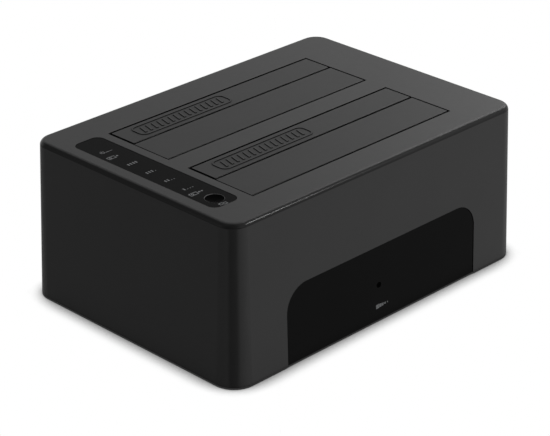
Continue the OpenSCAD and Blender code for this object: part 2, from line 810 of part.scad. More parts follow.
// Narrow flap with a raised frame of slanted bars
module narrow_flap(bay) {
  y = rear_rim(bay) - narrow_share / 2;
  color(flap_colour) {
    at_hinge(bay, REAR) flap(narrow_share, narrow_rim_gap, narrow_left_gap);
    translate([bay_x - frame_shift, y, z_top - flap_sink - join]) linear_extrude(frame_h + join) {
      difference() {
        round_rect(frame_l, frame_d, frame_r);
        round_rect(frame_l - 2 * frame_line, frame_d - 2 * frame_line, frame_r - frame_line);
      }
      for (i = [0:bar_count - 1]) translate([(i - (bar_count - 1) / 2) * bar_pitch, 0]) slanted_bar();
    }
  }
}

module slanted_bar() {
  h = frame_d / 2 - frame_line - bar_margin;
  polygon([
    [-bar_slant - bar_w / 2, -h], [-bar_slant + bar_w / 2, -h],
    [bar_slant + bar_w / 2, h], [bar_slant - bar_w / 2, h]
  ]);
}

module hinge_pin(bay, side) {
  color(steel_colour) at_hinge(bay, side) rotate([0, 90, 0])
    cylinder(r = pin_r, h = 2 * cage_hx, center = true);
}

// Route of a torsion spring: up the pocket's wall, round the pin and out under the flap
coil_steps = 8;
wire_sides = 6;
coil_x0 = knuckle_x + knuckle_w / 2 + knuckle_gap;
spring_turn = 360 * coil_turns + 90;
spring_points = coil_steps * coil_turns + coil_steps / 4;
function coil_point(i) =
  let (a = 180 - spring_turn * i / spring_points)
  [coil_x0 + wire_r + coil_pitch * coil_turns * i / spring_points, coil_r * cos(a), coil_r * sin(a)];
coil_x1 = coil_point(spring_points)[0];
leg_rise = flap_under - wire_r - stop_gap - coil_r;
spring_route = concat(
  [[coil_x0 + wire_r, -coil_r, -pocket_leg]],
  [for (i = [0:spring_points]) coil_point(i)],
  [[coil_x1, flap_leg / 2, coil_r], [coil_x1, flap_leg, coil_r + leg_rise]]
);

function unit(v) = v / norm(v);
function tangent(route, i) = unit(route[min(i + 1, len(route) - 1)] - route[max(i - 1, 0)]);

// Wire swept along a route that turns about the X axis
module wire(route, r, sides) {
  rings = [
    for (i = [0:len(route) - 1])
      let (t = tangent(route, i), n = unit([1, 0, 0] - t * t[0]), b = cross(t, n))
      for (k = [0:sides - 1]) route[i] + r * (n * cos(360 * k / sides) + b * sin(360 * k / sides))
  ];
  last = (len(route) - 1) * sides;
  faces = concat(
    [[for (k = [0:sides - 1]) k]],
    [[for (k = [0:sides - 1]) last + sides - 1 - k]],
    [for (i = [0:len(route) - 2], k = [0:sides - 1])
      [i * sides + k, (i + 1) * sides + k, i * sides + (k + 1) % sides]],
    [for (i = [0:len(route) - 2], k = [0:sides - 1])
      [i * sides + (k + 1) % sides, (i + 1) * sides + k, (i + 1) * sides + (k + 1) % sides]]
  );
  polyhedron(rings, faces);
}

module flap_spring(bay, side) {
  color(steel_colour) at_hinge(bay, side) wire(spring_route, wire_r, wire_sides);
}

// Levels of the button, its switch and the plunger between them
flange_z = z_under - stop_gap - flange_t;
plunger_top = ind_board_top + switch_h + switch_rise;
plunger_z = ind_board_top + switch_h - plunger_seat;

module clone_button() {
  top = z_top - button_sink;
  dish_r = (pow(button_r, 2) + pow(button_dish, 2)) / (2 * button_dish);
  color(gloss_colour) translate([ind_x, button_y, 0]) {
    difference() {
      translate([0, 0, flange_z]) cylinder(r = button_r, h = top - flange_z);
      translate([0, 0, top + dish_r - button_dish]) sphere(dish_r, $fn = 96);
    }
    translate([0, 0, flange_z]) cylinder(r = button_r + flange_w, h = flange_t);
    translate([0, 0, plunger_top]) cylinder(r = stem_r, h = flange_z + join - plunger_top);
  }
}

module clone_switch_body() {
  color(black_colour) translate([ind_x, button_y, 0]) difference() {
    box([-switch_s / 2, -switch_s / 2, ind_board_top],
        [switch_s / 2, switch_s / 2, ind_board_top + switch_h]);
    translate([0, 0, plunger_z - button_travel - swing_clear])
      cylinder(r = plunger_r + plunger_clear, h = switch_h);
  }
}

module clone_switch_plunger() {
  color(white_colour) translate([ind_x, button_y, plunger_z])
    cylinder(r = plunger_r, h = plunger_top - plunger_z);
}

module erase_switch_body() {
  y1 = board_y0 + erase_depth;
  color(black_colour) difference() {
    box([pinhole_x - switch_s / 2, board_y0, board_top],
        [pinhole_x + switch_s / 2, y1, pinhole_z + erase_top]);
    translate([pinhole_x, board_y0 - past, pinhole_z]) rotate([-90, 0, 0])
      cylinder(r = plunger_r + plunger_clear, h = erase_seat + erase_travel + swing_clear + past);
  }
}

module erase_switch_plunger() {
  color(white_colour) translate([pinhole_x, erase_tip, pinhole_z]) rotate([-90, 0, 0])
    cylinder(r = plunger_r, h = board_y0 + erase_seat - erase_tip);
}

// Frame of the power switch: x across, y up the rear face, z outward, origin on the rear face
module at_switch() {
  on_rear() translate([-switch_mid, rocker_h, 0]) children();
}

module power_switch_body() {
  color(black_colour) at_switch() difference() {
    union() {
      box([-bezel_w / 2, -bezel_h / 2, 0], [bezel_w / 2, bezel_h / 2, bezel_t]);
      box([-switch_hw, -switch_hh, -switch_depth], [switch_hw, switch_hh, join]);
    }
    box([rocker_wall - switch_hw, rocker_wall - switch_hh, -rocker_well],
        [switch_hw - rocker_wall, switch_hh - rocker_wall, bezel_t + past]);
    translate([0, 0, rocker_axis]) rotate([0, 90, 0])
      cylinder(r = rocker_pin_r + pin_clear, h = 2 * switch_hw + past, center = true);
  }
}

module power_switch_rocker() {
  color(gloss_colour) at_switch() translate([0, 0, rocker_axis]) rotate([rocker_swing, 0, 0]) {
    translate([-rocker_hw, 0, 0]) rotate([90, 0, 90]) linear_extrude(2 * rocker_hw) polygon([
      [-rocker_hl, rocker_height], [0, rocker_height - rocker_dip], [rocker_hl, rocker_height],
      [rocker_hl, rocker_side], [rocker_foot, -rocker_foot], [-rocker_foot, -rocker_foot],
      [-rocker_hl, rocker_side]
    ]);
    rotate([0, 90, 0]) cylinder(r = rocker_pin_r, h = 2 * (switch_hw - pin_clear), center = true);
  }
}

// Two wires from the back of the power switch down to the main board
module switch_leads() {
  color("#8c2a26") difference() {
    at_switch() for (x = [-lead_x, lead_x]) translate([x, 0, -switch_depth - lead_run]) {
      cylinder(r = lead_r, h = lead_run);
      translate([0, -lead_bend, 0]) rotate([0, 90, 0])
        rotate_extrude(angle = 90) translate([lead_bend, 0]) circle(lead_r);
      translate([0, -lead_bend, -lead_bend]) rotate([90, 0, 0]) cylinder(r = lead_r, h = rocker_h);
    }
    box([0, 0, -body_h], [body_w, body_d, board_top]);
  }
}

module dc_inlet_body() {
  color(black_colour) difference() {
    union() {
      box([inlet_mid - dc_w / 2, dc_face - dc_l, board_top],
          [inlet_mid + dc_w / 2, dc_face - dc_nose_l, board_top + dc_h]);
      translate([inlet_mid, dc_face, dc_axis_z]) rotate([90, 0, 0])
        cylinder(r = dc_nose_r, h = dc_nose_l + join);
    }
    translate([inlet_mid, dc_face + past, dc_axis_z]) rotate([90, 0, 0])
      cylinder(r = dc_bore_r, h = dc_bore_l + past);
  }
}

module dc_inlet_pin() {
  color(steel_colour) translate([inlet_mid, dc_face - dc_bore_l, dc_axis_z]) rotate([-90, 0, 0])
    cylinder(r = dc_pin_r, h = dc_bore_l - dc_pin_sink);
}

module usb_shell() {
  color(steel_colour) difference() {
    rear_extrude(port_mid, usb_face, usb_axis_z, usb_l) usb_outline(0);
    rear_extrude(port_mid, usb_face + past, usb_axis_z, usb_l - usb_back_t + past) usb_outline(-usb_t);
  }
}

module usb_tongue() {
  y0 = usb_face - usb_l + usb_back_t;
  color(black_colour) box([port_mid - usb_tongue_w / 2, y0, usb_axis_z - usb_tongue_t / 2],
    [port_mid + usb_tongue_w / 2, usb_face - usb_tongue_sink, usb_axis_z + usb_tongue_t / 2]);
}

module main_board() {
  color(board_colour) difference() {
    box([-board_hx, board_y0, board_z], [board_hx, board_y1, board_top]);
    for (p = board_places) translate([p[0], p[1], board_z - past])
      cylinder(r = small_screw_r + head_clear, h = board_t + 2 * past);
  }
}

module indicator_board() {
  y0 = ind_places[0][1] - ind_board_end;
  y1 = ind_places[1][1] + ind_board_end;
  x = ind_x + ind_board_shift;
  color(board_colour) difference() {
    box([x - ind_board_w / 2, y0, ind_board_z], [x + ind_board_w / 2, y1, ind_board_top]);
    for (p = ind_places) translate([p[0], p[1], ind_board_z - past])
      cylinder(r = small_screw_r + head_clear, h = ind_board_t + 2 * past);
  }
}

module light_shroud() {
  color(white_colour) difference() {
    box([lamp_x - shroud_w / 2, shroud_y0, ind_board_top], [lamp_x + shroud_w / 2, shroud_y1, z_under]);
    for (y = lamp_ys) translate([lamp_x, y, ind_board_top - past])
      cylinder(r = shroud_bore_r, h = shroud_h + 2 * past);
  }
}

module status_leds() {
  color("#d8efff") for (y = lamp_ys)
    translate([lamp_x, y, ind_board_top + led_size[2] / 2]) cube(led_size, center = true);
}

// Flat cable that bows between the two boards
module ribbon_cable() {
  span = (ribbon_z1 - ribbon_z0) / 2;
  bow_r = (pow(span, 2) + pow(ribbon_bow, 2)) / (2 * ribbon_bow);
  color(white_colour) translate([ribbon_x, ribbon_y + ribbon_w / 2, ribbon_z0 + span]) rotate([90, 0, 0])
    linear_extrude(ribbon_w) intersection() {
      translate([bow_r - ribbon_bow, 0]) difference() {
        circle(bow_r + ribbon_t / 2, $fn = 180);
        circle(bow_r - ribbon_t / 2, $fn = 180);
      }
      square([4 * ribbon_bow, 2 * span], center = true);
    }
}

module ribbon_socket(z) {
  w = ribbon_w + 2 * ribbon_socket_margin;
  color(white_colour) box([ribbon_x - ribbon_socket_w / 2, ribbon_y - w / 2, z],
    [ribbon_x + ribbon_socket_w / 2, ribbon_y + w / 2, z + ribbon_socket_h]);
}

// Drive socket: two slots in a row, for data to the left and power to the right
data_l = (data_contacts - 1) * contact_pitch + contact_w + 2 * contact_margin;
power_l = (power_contacts - 1) * contact_pitch + contact_w + 2 * contact_margin;
slots_l = data_l + slot_wall + power_l;

module at_socket(bay) {
  translate([bay_x - socket_shift, socket_y(bay), board_top]) children();
}

module sata_socket(bay) {
  color(black_colour) at_socket(bay) difference() {
    box([-socket_l / 2, -socket_w / 2, 0], [socket_l / 2, socket_w / 2, socket_h]);
    box([-slots_l / 2, -socket_slot_w / 2, socket_h - socket_slot_depth],
        [data_l - slots_l / 2, socket_slot_w / 2, socket_h + past]);
    box([slots_l / 2 - power_l, -socket_slot_w / 2, socket_h - socket_slot_depth],
        [slots_l / 2, socket_slot_w / 2, socket_h + past]);
  }
}

module sata_contacts(bay) {
  data_x = contact_margin - slots_l / 2;
  power_x = slots_l / 2 - power_l + contact_margin;
  xs = concat(
    [for (i = [0:data_contacts - 1]) data_x + i * contact_pitch],
    [for (i = [0:power_contacts - 1]) power_x + i * contact_pitch]
  );
  color(gold_colour) at_socket(bay) for (x = xs)
    box([x, socket_slot_w / 2 - contact_t, socket_h - socket_slot_depth],
        [x + contact_w, socket_slot_w / 2, socket_h - contact_margin]);
}

// Parts on the main board, each size as length, depth and height
chip_size = [12, 12, 1.4];
chip_place = [-10, 8];
memory_size = [5, 4, 1.6];
memory_places = [[12, 8], [12, -4]];
coil_size = [7, 7, 3.8];
coil_row = 12;
coil_places = [[inlet_mid - coil_row, 12], [inlet_mid - coil_row, 24], [inlet_mid, 12]];
crystal_size = [11, 4.6, 3.6];
crystal_place = [-28, 8];
can_r = 3.1;
can_h = 7.7;
can_pitch = 8;
can_gap = 0.6;
can_first = -30;
can_count = 4;
can_places = [for (i = [0:can_count - 1]) [can_r + can_gap - board_hx, can_first + i * can_pitch]];

module board_block(p, size) {
  translate([p[0], p[1], board_top + size[2] / 2]) cube(size, center = true);
}

module bridge_chip() {
  color(black_colour) board_block(chip_place, chip_size);
}

module memory_chips() {
  color(black_colour) for (p = memory_places) board_block(p, memory_size);
}

module regulator_coils() {
  color("#4c4f52") for (p = coil_places) board_block(p, coil_size);
}

module crystal() {
  color(steel_colour) board_block(crystal_place, crystal_size);
}

module filter_capacitors() {
  color(steel_colour) for (p = can_places) translate([p[0], p[1], board_top]) cylinder(r = can_r, h = can_h);
}

// Screw whose head's seat is at the origin, with the shank upward
module screw(shank_r, length, head_r, head_h) {
  translate([0, 0, -head_h]) {
    cylinder(r = shank_r, h = head_h + length);
    cylinder(r = head_r, h = head_h);
  }
}

module base_screws() {
  color(steel_colour) for (p = pillar_places)
    translate([p[0], p[1], base_z0 + base_seat]) screw(base_screw_r, base_screw_l, base_head_r, base_head_h);
}

module board_screws() {
  color(steel_colour) for (p = board_places) translate([p[0], p[1], board_top]) mirror([0, 0, 1])
    screw(small_screw_r, board_screw_l, small_head_r, small_head_h);
}

module cage_screws() {
  color(steel_colour) for (p = post_places) translate([p[0], p[1], ear_z])
    screw(small_screw_r, small_screw_l, small_head_r, small_head_h);
}

module indicator_screws() {
  color(steel_colour) for (p = ind_places) translate([p[0], p[1], ind_board_z])
    screw(small_screw_r, small_screw_l, small_head_r, small_head_h);
}

top_housing();
base_cover();
front_panel();
indicator_panel();
drive_cage();
narrow_flap(REAR);  // rear_narrow_flap
wide_flap(REAR);  // rear_wide_flap
narrow_flap(FRONT);  // front_narrow_flap
wide_flap(FRONT);  // front_wide_flap
hinge_pin(REAR, REAR);  // rear_narrow_pin
hinge_pin(REAR, FRONT);  // rear_wide_pin
hinge_pin(FRONT, REAR);  // front_narrow_pin
hinge_pin(FRONT, FRONT);  // front_wide_pin
flap_spring(REAR, REAR);  // rear_narrow_spring
flap_spring(REAR, FRONT);  // rear_wide_spring
flap_spring(FRONT, REAR);  // front_narrow_spring
flap_spring(FRONT, FRONT);  // front_wide_spring
clone_button();
clone_switch_body();
clone_switch_plunger();
erase_switch_body();
erase_switch_plunger();
power_switch_body();
power_switch_rocker();
switch_leads();
dc_inlet_body();
dc_inlet_pin();
usb_shell();
usb_tongue();
main_board();
indicator_board();
light_shroud();
status_leds();
ribbon_cable();
ribbon_socket(ribbon_z1);  // ribbon_socket_upper
ribbon_socket(board_top);  // ribbon_socket_lower
sata_socket(REAR);  // rear_sata_socket
sata_socket(FRONT);  // front_sata_socket
sata_contacts(REAR);  // rear_sata_contacts
sata_contacts(FRONT);  // front_sata_contacts
bridge_chip();
memory_chips();
regulator_coils();
filter_capacitors();
crystal();
foot(0);  // foot_front_left
foot(1);  // foot_front_right
foot(2);  // foot_rear_left
foot(3);  // foot_rear_right
base_screws();
board_screws();
cage_screws();
indicator_screws();
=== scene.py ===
import math

import bmesh
import bpy
from mathutils import Matrix, Vector


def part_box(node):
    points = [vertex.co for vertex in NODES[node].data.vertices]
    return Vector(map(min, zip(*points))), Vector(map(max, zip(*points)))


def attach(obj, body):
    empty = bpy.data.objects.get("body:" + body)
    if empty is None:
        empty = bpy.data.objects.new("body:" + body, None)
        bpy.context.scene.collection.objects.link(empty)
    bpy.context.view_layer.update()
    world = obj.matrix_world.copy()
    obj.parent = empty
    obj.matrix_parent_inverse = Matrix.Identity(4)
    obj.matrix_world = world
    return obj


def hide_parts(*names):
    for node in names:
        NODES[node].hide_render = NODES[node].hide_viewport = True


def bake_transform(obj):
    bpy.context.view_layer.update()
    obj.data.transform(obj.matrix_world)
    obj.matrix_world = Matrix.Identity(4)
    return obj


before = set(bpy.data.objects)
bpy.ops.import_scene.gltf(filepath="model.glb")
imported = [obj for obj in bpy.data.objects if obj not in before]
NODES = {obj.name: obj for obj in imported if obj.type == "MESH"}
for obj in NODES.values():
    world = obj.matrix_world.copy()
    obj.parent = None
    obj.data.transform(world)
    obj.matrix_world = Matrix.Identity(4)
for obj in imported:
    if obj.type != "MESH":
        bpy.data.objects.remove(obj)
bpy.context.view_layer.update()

MM = 0.001
SCENE = bpy.context.scene
WHITE_COLOUR = (1, 1, 1, 1)


# Shader graphs
class Graph:
    """Shader nodes of a material or a world, with short ways to add and join them."""

    def __init__(self, owner):
        owner.use_nodes = True
        self.nodes, self.links = owner.node_tree.nodes, owner.node_tree.links

    def add(self, kind, **inputs):
        """New node with values for its inputs, whose names have underscores for spaces."""
        node = self.nodes.new("ShaderNode" + kind)
        for name, value in inputs.items():
            node.inputs[name.replace("_", " ")].default_value = value
        return node

    def join(self, output, socket):
        self.links.new(output, socket)

    def combine(self, operation, first, second):
        """One number made of two."""
        node = self.add("Math")
        node.operation = operation
        self.join(first, node.inputs[0])
        self.join(second, node.inputs[1])
        return node.outputs[0]

    def ramp(self, value, low, high, at_low=0.0, at_high=1.0):
        """Goes from one number at the low value to another at the high one."""
        node = self.add("MapRange", From_Min=low, From_Max=high, To_Min=at_low, To_Max=at_high)
        self.join(value, node.inputs["Value"])
        return node.outputs["Result"]

    def tones(self, value, positions, colours):
        """Goes from one colour at the first position to another at the second."""
        node = self.add("ValToRGB")
        for stop, position, colour in zip(node.color_ramp.elements, positions, colours):
            stop.position = position
            stop.color = colour
        self.join(value, node.inputs["Fac"])
        return node.outputs["Color"]

    def times(self, tint, factor):
        """Colour multiplied by a number."""
        mix = self.add("Mix")
        mix.data_type = "RGBA"
        mix.blend_type = "MULTIPLY"
        mix.inputs[0].default_value = 1.0
        self.join(tint, mix.inputs[6])
        self.join(factor, mix.inputs[7])
        return mix.outputs[2]

    def noise(self, coord, scale, detail):
        node = self.add("TexNoise", Scale=scale, Detail=detail)
        self.join(coord.outputs["Object"], node.inputs["Vector"])
        return node.outputs["Fac"]

    def openness(self, reach, samples):
        """1 in the open, less where something stands nearer than the reach in mm."""
        node = self.add("AmbientOcclusion", Distance=reach * MM)
        node.samples = samples
        return node.outputs["AO"]

    def seen(self):
        """1 for rays from the camera, a mirror or glass, which see the white background."""
        path = self.add("LightPath").outputs
        first = self.combine("MAXIMUM", path["Is Camera Ray"], path["Is Glossy Ray"])
        return self.combine("MAXIMUM", first, path["Is Transmission Ray"])

    def split_by_sight(self, plain, white, output):
        """One shader for light that bounces, another for rays that see the background."""
        mix = self.add("MixShader")
        self.join(self.seen(), mix.inputs["Fac"])
        self.join(plain.outputs[0], mix.inputs[1])
        self.join(white.outputs[0], mix.inputs[2])
        self.join(mix.outputs[0], self.add(output).inputs["Surface"])


# Materials
NOISE_SPREAD = (0.3, 0.7)
PATCH_DETAIL, FINE_DETAIL, GRAIN_DETAIL = 4.0, 3.0, 2.0
FINE_SCALE = 7
GRAIN_DEPTH = 0.02
# Painted shade in crevices: how open a point is where the shade is darkest and where it ends, what is left of
# the colour there, and rays to sample it
CREVICE_OPEN, CREVICE_SHADE, CREVICE_SAMPLES = (0.55, 0.92), 0.01, 8
# Upward part of the normal at both ends of a fillet round the top, and sideways parts where corners turn
FILLET_START, FILLET_END = (0.84, 0.93), (0.07, 0.16)
CORNER_TURN, FILLET_TURN = (0.80, 0.88), (0.30, 0.45)
# What is left of colour where shade is painted on the fillets and corners, and of roughness where the moulded
# texture is polished away on the fillets
FILLET_SHADE, CORNER_SHADE, FILLET_ROUGH = 0.5, 0.62, 0.3


def linear(code):
    """Linear colour of a hex code."""
    out = []
    for i in (0, 2, 4):
        c = int(code[i:i + 2], 16) / 255
        out.append(c / 12.92 if c <= 0.04045 else ((c + 0.055) / 1.055) ** 2.4)
    return out


def shade_and_polish_masks(graph, coord):
    """Two masks from the part's own normals: 1 on the fillets round the top, 1 on the corners."""
    size = graph.add("VectorMath")
    size.operation = "ABSOLUTE"
    graph.join(coord.outputs["Normal"], size.inputs[0])
    axes = graph.add("SeparateXYZ")
    graph.join(size.outputs["Vector"], axes.inputs[0])
    across, along, rise = axes.outputs
    upright = graph.ramp(rise, *FILLET_END, 1.0, 0.0)
    fillet = graph.combine("MULTIPLY", graph.ramp(rise, *FILLET_END),
                           graph.ramp(rise, *FILLET_START, 1.0, 0.0))
    turned = graph.ramp(graph.combine("MAXIMUM", across, along), *CORNER_TURN, 1.0, 0.0)
    rounded = graph.ramp(graph.combine("MINIMUM", across, along), *FILLET_TURN)
    corner = graph.combine("MAXIMUM", graph.combine("MULTIPLY", upright, turned),
                           graph.combine("MULTIPLY", fillet, rounded))
    return fillet, corner


def surface(name, code, rough, spec=0.5, metallic=0.0, tone=0.06, wear=0.05, patch=60.0,
            grain=0.0, grain_scale=4000.0, crevice_shade=0.0, polished_and_shaded=False):
    """Material with soft patches in its colour, uneven gloss, a fine grain, painted shade in crevices within
    a reach in mm, and painted shade on the fillets and corners, whose fillets are also glossier where the
    moulded texture is polished away."""
    mat = bpy.data.materials.new(name)
    graph = Graph(mat)
    bsdf = graph.nodes["Principled BSDF"]
    bsdf.inputs["Metallic"].default_value = metallic
    bsdf.inputs["Specular IOR Level"].default_value = spec
    coord = graph.add("TexCoord")

    shades = [(*(c * k for c in linear(code)), 1.0) for k in (1 - tone, 1 + tone)]
    tint = graph.tones(graph.noise(coord, patch, PATCH_DETAIL), NOISE_SPREAD, shades)
    matt = graph.ramp(graph.noise(coord, patch * FINE_SCALE, FINE_DETAIL), *NOISE_SPREAD,
                      max(rough - wear, 0.02), min(rough + wear, 1.0))
    if polished_and_shaded:
        fillet, corner = shade_and_polish_masks(graph, coord)
        # Painted shade: the fillets and corners are darker in colour; the fillets are also less rough
        tint = graph.times(tint, graph.ramp(fillet, 0.0, 1.0, 1.0, FILLET_SHADE))
        tint = graph.times(tint, graph.ramp(corner, 0.0, 1.0, 1.0, CORNER_SHADE))
        matt = graph.combine("MULTIPLY", matt, graph.ramp(fillet, 0.0, 1.0, 1.0, FILLET_ROUGH))
    # Painted shade: the colour goes dark in crevices where other surfaces stand within the reach
    if crevice_shade:
        openness = graph.openness(crevice_shade, CREVICE_SAMPLES)
        tint = graph.times(tint, graph.ramp(openness, *CREVICE_OPEN, CREVICE_SHADE))
    graph.join(tint, bsdf.inputs["Base Color"])
    graph.join(matt, bsdf.inputs["Roughness"])

    if grain:
        bump = graph.add("Bump", Strength=grain, Distance=GRAIN_DEPTH * MM)
        graph.join(graph.noise(coord, grain_scale, GRAIN_DETAIL), bump.inputs["Height"])
        graph.join(bump.outputs["Normal"], bsdf.inputs["Normal"])
    return mat


def metal(name, code, rough):
    return surface(name, code, rough, metallic=1.0, tone=0.05, wear=0.08, patch=300.0)


def moulded(name, code, spec):
    return surface(name, code, 0.50, spec=spec, tone=0.015, wear=0.02, grain=0.25, crevice_shade=2.0, polished_and_shaded=True)


HOUSING = moulded("housing_plastic", "3e3e3e", 0.028)
FLAP = moulded("flap_plastic", "3b3b3b", 0.02)
GLOSS = surface("gloss_plastic", "141414", 0.10, spec=0.008, tone=0.03, wear=0.02)
LENS = surface("smoked_lens", "171717", 0.24, spec=0.004, tone=0.03, wear=0.03)
BUTTON = surface("button_black", "060606", 0.25, spec=0.001, tone=0.03, wear=0.03)
# Pale colour of a painted highlight on the edge of the button's hole
RIM_HIGHLIGHT = surface("button_rim_highlight", "6c6c6c", 0.4, spec=0.1, tone=0.03, wear=0.03)
INNER = surface("inner_plastic", "232325", 0.55, spec=0.2, tone=0.06, grain=0.3)
BLACK = surface("black_plastic", "141415", 0.45, spec=0.3, tone=0.06, grain=0.2)
WHITE = surface("white_plastic", "d9d7cf", 0.5, spec=0.4, tone=0.03)
STEEL = metal("steel", "b4b7bb", 0.28)
PIN = metal("pin_steel", "5e6064", 0.42)
SPRING = metal("spring_steel", "7c7f84", 0.36)
GOLD = metal("contact_gold", "c9a24a", 0.3)
BOARD = surface("board_green", "1f5a3a", 0.4, spec=0.4, tone=0.12, patch=120.0)
LAMP = surface("lamp_clear", "d8efff", 0.2, spec=0.5, tone=0.03)
LEAD = surface("lead_red", "8c2a26", 0.5, spec=0.3, tone=0.08, patch=200.0)
FERRITE = surface("ferrite", "4c4f52", 0.6, spec=0.3, tone=0.1, patch=300.0, grain=0.4)
CAN = surface("can_sleeve", "26282b", 0.4, spec=0.4, tone=0.06, patch=150.0)
RUBBER = surface("rubber", "202020", 0.8, spec=0.2, tone=0.08, patch=150.0, grain=0.6, grain_scale=2500.0)
PRINT = surface("pale_print", "5e5f60", 0.55, spec=0.2, tone=0.05, patch=400.0)


# Each hinge's place from front to back in mm, and the side of its pin on which the flap lies
HINGES = {
    "rear_narrow": (37.5, -1),
    "rear_wide": (2.4, 1),
    "front_narrow": (-5.5, -1),
    "front_wide": (-40.6, 1),
}
FEET = ("front_left", "front_right", "rear_left", "rear_right")
SCREWS = ("base", "board", "cage", "indicator")

# Material, slot in the record and edge rounding in mm of every CAD node
DRESS = {
    "top_housing": (HOUSING, "housing", 0.22),
    "base_cover": (INNER, "inner_plastic", 0.2),
    "front_panel": (GLOSS, "gloss", 0.12),
    "indicator_panel": (LENS, "smoked_lens", 0.12),
    "drive_cage": (INNER, "inner_plastic", 0.15),
    "rear_narrow_flap": (FLAP, "flap", 0.08),
    "rear_wide_flap": (FLAP, "flap", 0.12),
    "front_narrow_flap": (FLAP, "flap", 0.08),
    "front_wide_flap": (FLAP, "flap", 0.12),
    **{hinge + "_pin": (PIN, "steel", 0.1) for hinge in HINGES},
    **{hinge + "_spring": (SPRING, "spring_steel", 0) for hinge in HINGES},
    "clone_button": (BUTTON, "gloss", 0.2),
    "clone_switch_body": (BLACK, "black_plastic", 0.15),
    "clone_switch_plunger": (WHITE, "white_plastic", 0.15),
    "erase_switch_body": (BLACK, "black_plastic", 0.15),
    "erase_switch_plunger": (WHITE, "white_plastic", 0.15),
    "power_switch_body": (BLACK, "black_plastic", 0.2),
    "power_switch_rocker": (GLOSS, "gloss", 0.25),
    "switch_leads": (LEAD, "lead", 0),
    "dc_inlet_body": (BLACK, "black_plastic", 0.15),
    "dc_inlet_pin": (STEEL, "steel", 0.25),
    "usb_shell": (STEEL, "steel", 0.05),
    "usb_tongue": (BLACK, "black_plastic", 0.08),
    "main_board": (BOARD, "board", 0.1),
    "indicator_board": (BOARD, "board", 0.1),
    "light_shroud": (WHITE, "white_plastic", 0.15),
    "status_leds": (LAMP, "lamp", 0.08),
    "ribbon_cable": (WHITE, "white_plastic", 0),
    "ribbon_socket_upper": (WHITE, "white_plastic", 0.15),
    "ribbon_socket_lower": (WHITE, "white_plastic", 0.15),
    "rear_sata_socket": (BLACK, "black_plastic", 0.15),
    "front_sata_socket": (BLACK, "black_plastic", 0.15),
    "rear_sata_contacts": (GOLD, "contact", 0.05),
    "front_sata_contacts": (GOLD, "contact", 0.05),
    "bridge_chip": (BLACK, "black_plastic", 0.1),
    "memory_chips": (BLACK, "black_plastic", 0.1),
    "regulator_coils": (FERRITE, "ferrite", 0.3),
    "filter_capacitors": (CAN, "can", 0.3),
    "crystal": (STEEL, "steel", 0.4),
    **{"foot_" + corner: (RUBBER, "rubber_foot", 0.15) for corner in FEET},
    **{held + "_screws": (STEEL, "steel", 0.2) for held in SCREWS},
}
WELD_REACH = 0.001
SHARP_ANGLE = math.radians(38)


def dress(name, mat, slot, edge):
    """Gives a CAD node its material and rounds its sharp edges."""
    obj = NODES[name]
    obj.data.materials.clear()
    obj.data.materials.append(mat)
    weld = obj.modifiers.new("weld", "WELD")
    weld.merge_threshold = WELD_REACH * MM
    if edge:
        bevel = obj.modifiers.new("edges", "BEVEL")
        bevel.width = edge * MM
        bevel.segments = 2
        bevel.limit_method = "ANGLE"
        bevel.angle_limit = SHARP_ANGLE
        bevel.harden_normals = True
    shade = obj.modifiers.new("shade", "WEIGHTED_NORMAL")
    shade.keep_sharp = True


for node_name, look in DRESS.items():
    dress(node_name, *look)


# Pieces that the scene adds: printed marks, a pale ring of painted highlight round the button's hole, and the
# springs' wires
def linked(name, data):
    obj = bpy.data.objects.new(name, data)
    SCENE.collection.objects.link(obj)
    return obj


def piece(name, bm, mat):
    mesh = bpy.data.meshes.new(name)
    bm.to_mesh(mesh)
    bm.free()
    mesh.materials.append(mat)
    obj = linked(name, mesh)
    return obj


def skin(bm, rings, smooth=False):
    """Faces from each ring of corners to the next one."""
    for here, there in zip(rings, rings[1:]):
        for k in range(len(here)):
            m = (k + 1) % len(here)
            bm.faces.new((here[k], here[m], there[m], there[k])).smooth = smooth


def prism(bm, outline, low, high):
    """Plate with a convex outline, between two heights. All in mm."""
    rings = [[bm.verts.new((x * MM, y * MM, z * MM)) for x, y in outline] for z in (low, high)]
    bm.faces.new(rings[0][::-1])
    bm.faces.new(rings[1])
    skin(bm, rings)


def around(steps):
    """Cosine and sine of equal steps round a circle."""
    turns = [2 * math.pi * i / steps for i in range(steps)]
    return [(math.cos(a), math.sin(a)) for a in turns]


class Ink:
    """Flat strokes of one thickness, drawn about a middle in mm."""
    LINE = 0.28
    BELOW = -0.02
    ABOVE = 0.02

    def __init__(self, bm, x, y):
        self.bm, self.x, self.y = bm, x, y

    def fill(self, outline):
        prism(self.bm, [(self.x + u, self.y + v) for u, v in outline], self.BELOW, self.ABOVE)

    def box(self, u, v, w, h):
        corners = ((-1, -1), (1, -1), (1, 1), (-1, 1))
        self.fill([(u + i * w / 2, v + j * h / 2) for i, j in corners])

    def frame(self, u, v, w, h):
        line = self.LINE
        for side in (-1, 1):
            self.box(u, v + side * (h - line) / 2, w, line)
            self.box(u + side * (w - line) / 2, v, line, h - 2 * line)

    def arc(self, u, v, r, start, end, steps=20):
        inner, outer = r - self.LINE / 2, r + self.LINE / 2
        for i in range(steps):
            a = math.radians(start + (end - start) * i / steps)
            b = math.radians(start + (end - start) * (i + 1) / steps)
            self.fill([(u + k * math.cos(g), v + k * math.sin(g))
                       for k, g in ((inner, a), (outer, a), (outer, b), (inner, b))])

    def dot(self, u, v, r, sides=16):
        self.fill([(u + r * c, v + r * s) for c, s in around(sides)])


# Middles of the marks on the indicator panel, in mm
POWER_AT, COPY_AT = (-63.7, 25.1), (-63.85, -36.3)
DRIVE_X, DRIVE_YS = -65.2, (19.5, -23.6)
LEVEL_X, LEVEL_YS = -63.75, (10.6, 0.75, -9.0, -18.5)


